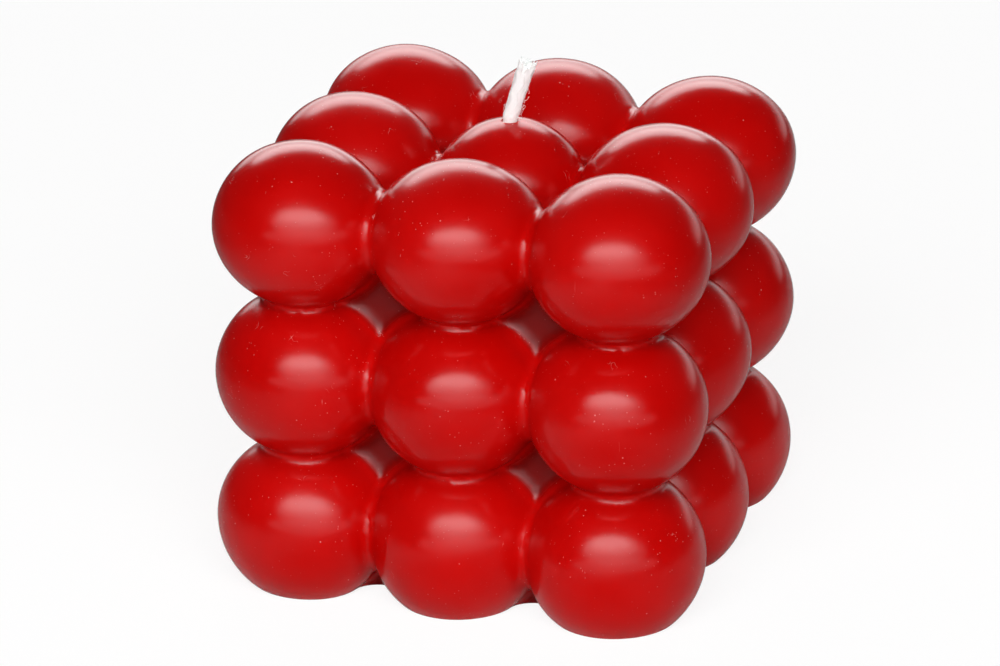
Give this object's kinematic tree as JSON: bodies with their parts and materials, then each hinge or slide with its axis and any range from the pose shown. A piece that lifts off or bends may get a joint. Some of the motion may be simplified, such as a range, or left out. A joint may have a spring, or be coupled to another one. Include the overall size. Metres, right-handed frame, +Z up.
{
  "type": "bubble cube candle",
  "caption": "Decorative red wax candle: a cube of fused round balls with soft necks, flat webs in the gaps, a flat base and a leaning cotton wick.",
  "frame": {"origin": "middle of the flat base, on the surface that the candle stands on", "axes": "+Z up along the wick's channel, -Y is the face nearer to the viewer in the picture, +X to its right"},
  "size_m": [0.0604, 0.0606, 0.0612],
  "materials": {
    "wax": "satin deep red candle wax, slightly translucent",
    "cotton": "unburnt braided white cotton"
  },
  "bodies": {
    "root": {"wax_body": "wax", "wick": "cotton"}
  },
  "joints": []
}
